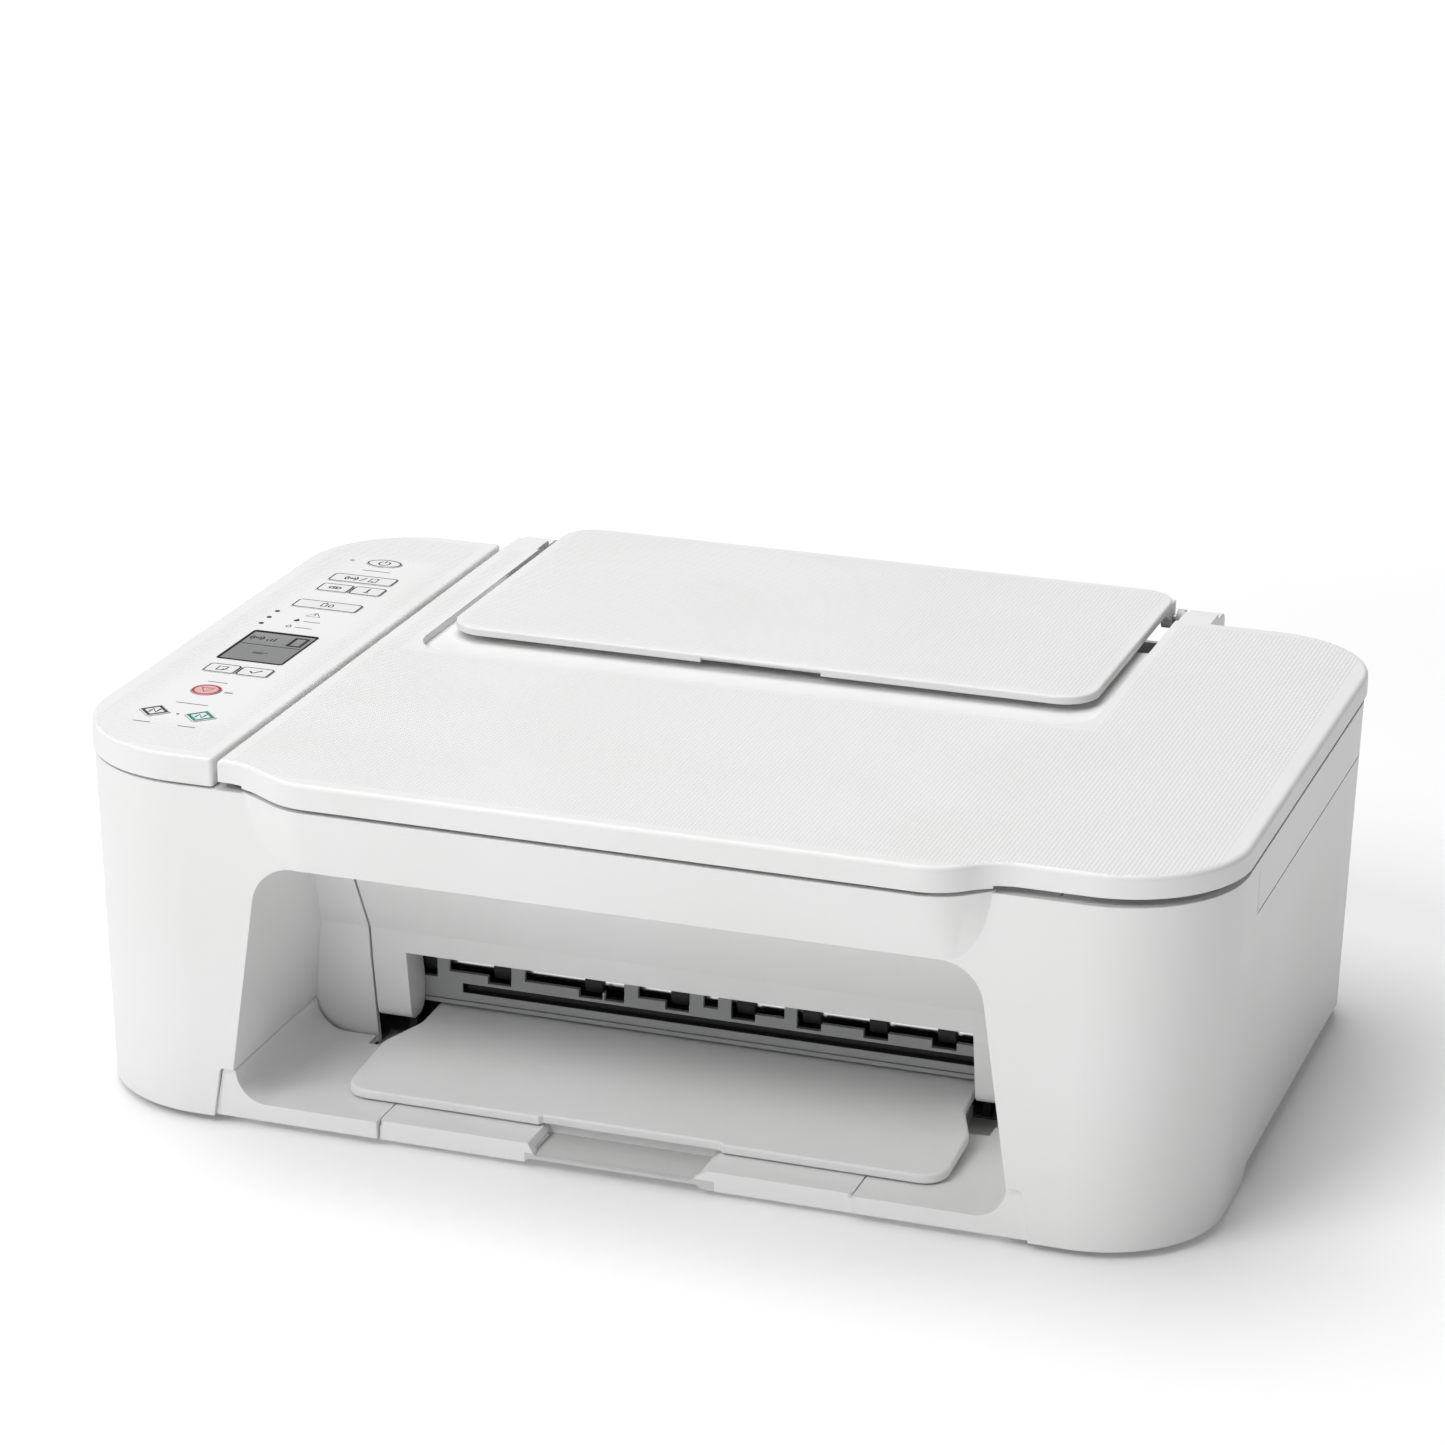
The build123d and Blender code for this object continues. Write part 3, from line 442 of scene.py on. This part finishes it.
def drop(x, y, size):
    return loop((x, y + 1.5 * size), (x + 0.8 * size, y), (x + 0.5 * size, y - 0.8 * size),
                (x - 0.5 * size, y - 0.8 * size), (x - 0.8 * size, y))


print_marks("warning_sign", "printer", [
    loop((-187, 16.6), (-181, 16.6), (-184, 21.4)), line((-184, 18.4), (-184, 20)),
    line((-184, 17.5), (-184, 17.7))], 0.6, "dark", PANEL_TOP)
print_marks("ink_signs", "printer", [drop(-188, 10.6, 1.2), drop(-188, 10.6, 0.8),
                                     drop(-188, 10.6, 0.4), drop(-188, 3.0, 1.2),
                                     line((-185, 10.2), (-178, 10.2)),
                                     line((-185, 2.6), (-178, 2.6))], 0.6, "dark", PANEL_TOP)
print_marks("key_rules", "printer", [
    line((-190, 79), (-178, 79)), line((-189, -67.2), (-181, -67.2)),
    line((-190, -92.5), (-177, -92.5)), line((-196, -116), (-189, -116)),
    line((-178, -116), (-171, -116)), ring(-183.5, -104.4, 0.35)], 0.6, "dark", PANEL_TOP)

# Lamps ---------------------------------------------------------------------------------
# Light guides of smoked acrylic in the panel; the power lamp shows a trace of green.
lamps = Finish("lamp_guides", Roughness=0.2, IOR=1.49)
x, y, _ = lamps.place()
power_lamp = y.ramp(0.08, 0.085)
stop_lamp = 1 - y.ramp(-0.06, -0.05)
smoke = lamps.noise(500, 1)
lamp_colour = lamps.mix(power_lamp, (0.05, 0.052, 0.05, 1), (0.55, 0.6, 0.3, 1))
lamp_colour = lamps.mix(stop_lamp, lamp_colour, (0.5, 0.42, 0.42, 1))
lamps.set(Base_Color=lamps.mix(smoke.ramp(0.4, 0.8) * 0.2, lamp_colour, (0.2, 0.2, 0.2, 1)))
dress(lamps, "panel_lamps")

# Display -------------------------------------------------------------------------------
# A small reflective liquid-crystal display: grey field in a dark frame under clear acrylic,
# with a divider, signal bars, a number and a sheet sign. The field is painted lighter
# towards the back as a painted sheen.
DISPLAY_TOP = 0.14235
screen_low, screen_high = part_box("lcd_display")
display = Finish("display", Roughness=0.12, IOR=1.49, Coat_Weight=0.5, Coat_Roughness=0.05)
field = inside(display, screen_low[0] + 0.0012, screen_high[0] - 0.0006,
               screen_low[1] + 0.0008, screen_high[1] - 0.0022, 0.0002)
mottle = display.noise(300, 2)
x, y, _ = display.place()
# Painted sheen: the grey field is coloured lighter towards the back.
display_sheen = (y * 60 + 1.6).ramp(0, 1.6)
glass_grey = display.mix(display_sheen, (0.31, 0.315, 0.315, 1), (0.4, 0.405, 0.405, 1))
glass_grey = display.mix(mottle * 0.2, glass_grey, (0.42, 0.42, 0.42, 1))
display.set(Base_Color=display.mix(field, (0.012, 0.012, 0.014, 1), glass_grey))
dress(display, "lcd_display")
x, y = centre("lcd_display")
print_marks("display_signs", "printer", [
    line((x - 12, y + 1.5), (x + 12.5, y + 1.5)),
    ring(x - 8.6, y + 9, 0.4), ring(x - 8.6, y + 9, 1.5, -50, 50, 8),
    ring(x - 8.6, y + 9, 1.5, 130, 230, 8), ring(x - 8.6, y + 9, 2.6, -50, 50, 8),
    ring(x - 8.6, y + 9, 2.6, 130, 230, 8), line((x - 3.8, y + 6.8), (x - 3.8, y + 8.4)),
    line((x - 2.4, y + 6.8), (x - 2.4, y + 9.4)), line((x - 1.0, y + 6.8), (x - 1.0, y + 10.6)),
    line((x - 3, y - 7), (x + 3, y - 7)), line((x - 3, y - 8.2), (x + 1.5, y - 8.2))],
    0.7, "dark", DISPLAY_TOP)
print_marks("display_digit", "printer", [box_loop(x + 8.6, y + 8.6, 2.5, 4.6)], 1.9, "dark",
            DISPLAY_TOP)

# Eject shaft and rollers ---------------------------------------------------------------
# A ground steel shaft with pressed-on black rubber rollers, behind a grey guide with tabs.
# The guide's long slot and its back lie in deep shade, which is painted on them nearly black.
steel = Finish("ground_shaft", Metallic=1.0, Base_Color=(0.82, 0.82, 0.82, 1))
turned = steel.noise(700, 2)
steel.set(Roughness=0.16 + turned * 0.14)
dress(steel, "eject_shaft")
dress(moulded("roller_rubber", (0.018, 0.018, 0.019, 1), 0.6, 0.1, 900), "eject_rollers",
      "feed_roller", "pickup_roller", "carriage_belt")
GUIDE_GREY, SLOT_PAINTED_SHADE = (0.36, 0.365, 0.37, 1), (0.01, 0.01, 0.011, 1)
BACK_PAINTED_SHADE = (0.02, 0.02, 0.022, 1)
guide = Finish("guide_grey", IOR=1.5)
fine = guide.noise(1800, 2)
_, y, z = guide.place()
# Painted shade: the slot and the guide's back are coloured nearly black where shade falls.
in_slot = y.ramp(-0.0573, -0.0570) * z.ramp(0.0261, 0.0264) * (1 - z.ramp(0.0302, 0.0305))
behind = y.ramp(-0.0560, -0.0556) * (1 - z.ramp(0.0440, 0.0446))
slotted = guide.mix(in_slot, GUIDE_GREY, SLOT_PAINTED_SHADE)
guide.set(Base_Color=guide.mix(behind, slotted, BACK_PAINTED_SHADE),
          Roughness=0.38 + fine * 0.1)
dress(guide, "exit_guide")

# Base, feet and hopper -----------------------------------------------------------------
# The underside pan is dark grey, the feet are soft rubber, and the hopper at the rear and
# its guides are light grey.
dress(moulded("base_grey", (0.16, 0.165, 0.17, 1), 0.55), "base_pan")
dress(moulded("foot_rubber", (0.03, 0.03, 0.03, 1), 0.75, 0.1, 700), "rubber_feet")
dress(moulded("housing_grey", (0.62, 0.63, 0.64, 1), 0.42, 0.02), "rear_tray_housing",
      "paper_guide_left", "paper_guide_right", "feed_slot_cover")

# Scanner -------------------------------------------------------------------------------
# Float glass in a white bezel over a black scan bar; the lid's pad is white foam.
pane = Finish("platen_pane", Base_Color=(0.86, 0.92, 0.91, 1), Roughness=0.02, IOR=1.52,
              Transmission_Weight=1.0)
smear = pane.noise(30, 3)
pane.set(Roughness=0.01 + smear * 0.03)
dress(pane, "platen_glass")
foam = Finish("pad_foam", Roughness=0.85)
cells = foam.noise(900, 4)
foam.set(Base_Color=foam.mix(cells.ramp(0.4, 0.7), (0.88, 0.88, 0.87, 1), (0.8, 0.8, 0.79, 1)),
         Normal=foam.bump(cells, 0.0001, 0.5))
dress(foam, "lid_pad")
dress(moulded("inner_black", (0.022, 0.022, 0.024, 1), 0.45, 0.05), "scan_bar", "print_platen",
      "print_carriage", "pressure_plate", "maintenance_station", "power_supply")

# Drive and electronics -----------------------------------------------------------------
# Acetal gears, a brass pinion, zinc-plated sheet and motor cans, and green circuit boards.
dress(moulded("gear_acetal", (0.8, 0.79, 0.74, 1), 0.38, 0.02), "feed_gear", "idler_gear",
      "eject_gear", "pinch_rollers", "drive_pulley", "tension_pulley")


def plated(name, colour, roughness, streak):
    """Metal with fine streaks from rolling or turning."""
    made = Finish(name, Metallic=1.0)
    fine = made.noise(streak, 3)
    darker = tuple(c * 0.8 for c in colour[:3]) + (1,)
    made.set(Base_Color=made.mix(fine.ramp(0.3, 0.8), colour, darker),
             Roughness=roughness + fine * 0.15)
    return made


dress(plated("brass", (0.75, 0.55, 0.25, 1), 0.25, 800), "motor_pinion")
dress(plated("zinc_sheet", (0.62, 0.63, 0.64, 1), 0.3, 500), "carriage_rail", "feed_motor",
      "carriage_motor")
dress(plated("bright_steel", (0.7, 0.7, 0.7, 1), 0.22, 900), "scan_rail", "hinge_pins", "screws")
board = Finish("board_green", Roughness=0.4, IOR=1.5)
tracks = board.noise(260, 1)
board.set(Base_Color=board.mix(tracks.ramp(0.48, 0.52), (0.01, 0.09, 0.04, 1),
                               (0.02, 0.15, 0.07, 1)))
dress(board, "panel_board", "main_board")
dress(moulded("cartridge_black", (0.03, 0.03, 0.032, 1), 0.4), "black_cartridge")
dress(moulded("cartridge_grey", (0.25, 0.26, 0.27, 1), 0.4), "color_cartridge")
dress(moulded("latch_grey", (0.42, 0.43, 0.44, 1), 0.4), "black_latch", "color_latch")

# Sockets -------------------------------------------------------------------------------
# The square data socket at the rear has a folded tinplate sleeve around a black tongue.
def cube_between(name, low, high):
    """Cube stretched between two corners in mm."""
    bpy.ops.object.select_all(action="DESELECT")
    bpy.ops.mesh.primitive_cube_add(size=1)
    piece = bpy.context.object
    piece.name = name
    piece.location = [(a + b) / 2 * MM for a, b in zip(low, high)]
    piece.scale = [(b - a) * MM for a, b in zip(low, high)]
    bpy.ops.object.transform_apply(location=True, rotation=True, scale=True)
    return piece


def block(name, body, low, high, finish, eased=0.2):
    """Box between two corners in mm with its edges rounded."""
    piece = cube_between(name, low, high)
    round_edges(piece, eased)
    piece.data.materials.append(finish.material)
    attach(piece, body)
    return piece


def round_edges(piece, eased):
    bevel = piece.modifiers.new("eased", "BEVEL")
    bevel.width, bevel.segments = eased * MM, 2
    bevel.limit_method, bevel.angle_limit = "ANGLE", math.radians(40)
    bpy.context.view_layer.objects.active = piece
    bpy.ops.object.modifier_apply(modifier=bevel.name)


def face_towards(piece, direction):
    """Selects, in edit mode, the faces that look in a direction."""
    bpy.ops.object.select_all(action="DESELECT")
    piece.select_set(True)
    bpy.context.view_layer.objects.active = piece
    bpy.ops.object.mode_set(mode="EDIT")
    bpy.ops.mesh.select_mode(type="FACE")
    bpy.ops.mesh.select_all(action="DESELECT")
    bpy.ops.object.mode_set(mode="OBJECT")
    for face in piece.data.polygons:
        face.select = face.normal.dot(Vector(direction)) > 0.99
    bpy.ops.object.mode_set(mode="EDIT")


SLEEVE_LOW, SLEEVE_HIGH = (150.4, 119, 52.4), (162.6, 128.6, 63.6)
SLEEVE_WALL, SLEEVE_DEPTH = 0.5, 9.0
tinplate = plated("tinplate", (0.68, 0.68, 0.67, 1), 0.25, 600)
inner_plastic = moulded("socket_black", (0.025, 0.025, 0.027, 1), 0.45)
sleeve = cube_between("data_sleeve", SLEEVE_LOW, SLEEVE_HIGH)
face_towards(sleeve, (0, 1, 0))
bpy.ops.mesh.inset(thickness=SLEEVE_WALL * MM)
bpy.ops.mesh.extrude_region_move(TRANSFORM_OT_translate={"value": (0, -SLEEVE_DEPTH * MM, 0)})
bpy.ops.object.mode_set(mode="OBJECT")
round_edges(sleeve, 0.12)
sleeve.data.materials.append(tinplate.material)
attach(sleeve, "printer")
block("data_tongue", "printer", (153.6, 119.8, 56.2), (159.4, 127.6, 59.6),
      inner_plastic, 0.3)

# Rating plate --------------------------------------------------------------------------
# A blank silver foil label with a printed border, stuck under the base.
foil = plated("label_foil", (0.6, 0.61, 0.62, 1), 0.4, 300)
block("rating_plate", "printer", (-60, 20, 3.0), (40, 70, 3.2), foil, 0.05)
print_marks("rating_border", "printer", [
    box_loop(-10, 45, 47, 22), line((-57, 52), (37, 52)), line((-57, 38), (37, 38)),
    line((-10, 23), (-10, 38))], 0.5, "dark", 0.00296)

# Platen marks --------------------------------------------------------------------------
# Printed on the bezel round the glass: a corner arrow and ticks at the usual sheet sizes.
BEZEL_TOP = 0.13102
TICKS_X, TICKS_Y = (-84, -31, 12, 74, 161), (-124, -81, -29, 14, 76)
print_marks("platen_marks", "printer",
            [loop((-144.5, -139), (-138.5, -139), (-138.5, -133))]
            + [line((tick, -139.5), (tick, -136)) for tick in TICKS_X]
            + [line((-144, tick), (-138, tick)) for tick in TICKS_Y],
            0.5, "dark", BEZEL_TOP)

# Cartridge labels ----------------------------------------------------------------------
# Paper labels on the cartridge lids: a grey one, and one with three colour bands.
LABEL_INKS = {"grey": (0.18, 0.18, 0.19, 1), "cyan": (0.0, 0.3, 0.55, 1),
              "magenta": (0.55, 0.02, 0.2, 1), "yellow": (0.8, 0.6, 0.02, 1)}
label_finish = {name: moulded("label_" + name, tone, 0.5, 0.03)
                for name, tone in LABEL_INKS.items()}
x, y = centre("black_cartridge")
block("black_label", "carriage", (x - 7.5, -28.5, 86), (x + 7.5, -13.5, 86.25),
      label_finish["grey"], 0.08)
x, y = centre("color_cartridge")
for band, name in enumerate(("cyan", "magenta", "yellow")):
    left = x - 7.5 + 5 * band
    block(name + "_label", "carriage", (left + 0.2, -28.5, 86),
          (left + 4.8, -13.5, 86.25), label_finish[name], 0.08)

# Floor finish --------------------------------------------------------------------------
# Matt white, with a painted glow that is faint by the printer and strong further away, so its
# shadow fades into white.
sweep = Finish("sweep", Roughness=0.9)
paper = sweep.noise(40, 2)
x, y, _ = sweep.place()
# Painted light: the floor glows more the further it lies from the printer.
painted_glow = (x * x + y * y).math("SQRT").ramp(0.5, 1.7)
sweep.set(Base_Color=sweep.mix(paper * 0.3, (0.93, 0.93, 0.93, 1), (0.91, 0.91, 0.91, 1)),
          Emission_Color=sweep.mix(painted_glow, (0.17, 0.17, 0.17, 1), (1, 1, 1, 1)),
          Emission_Strength=0.7)
floor.data.materials.append(sweep.material)
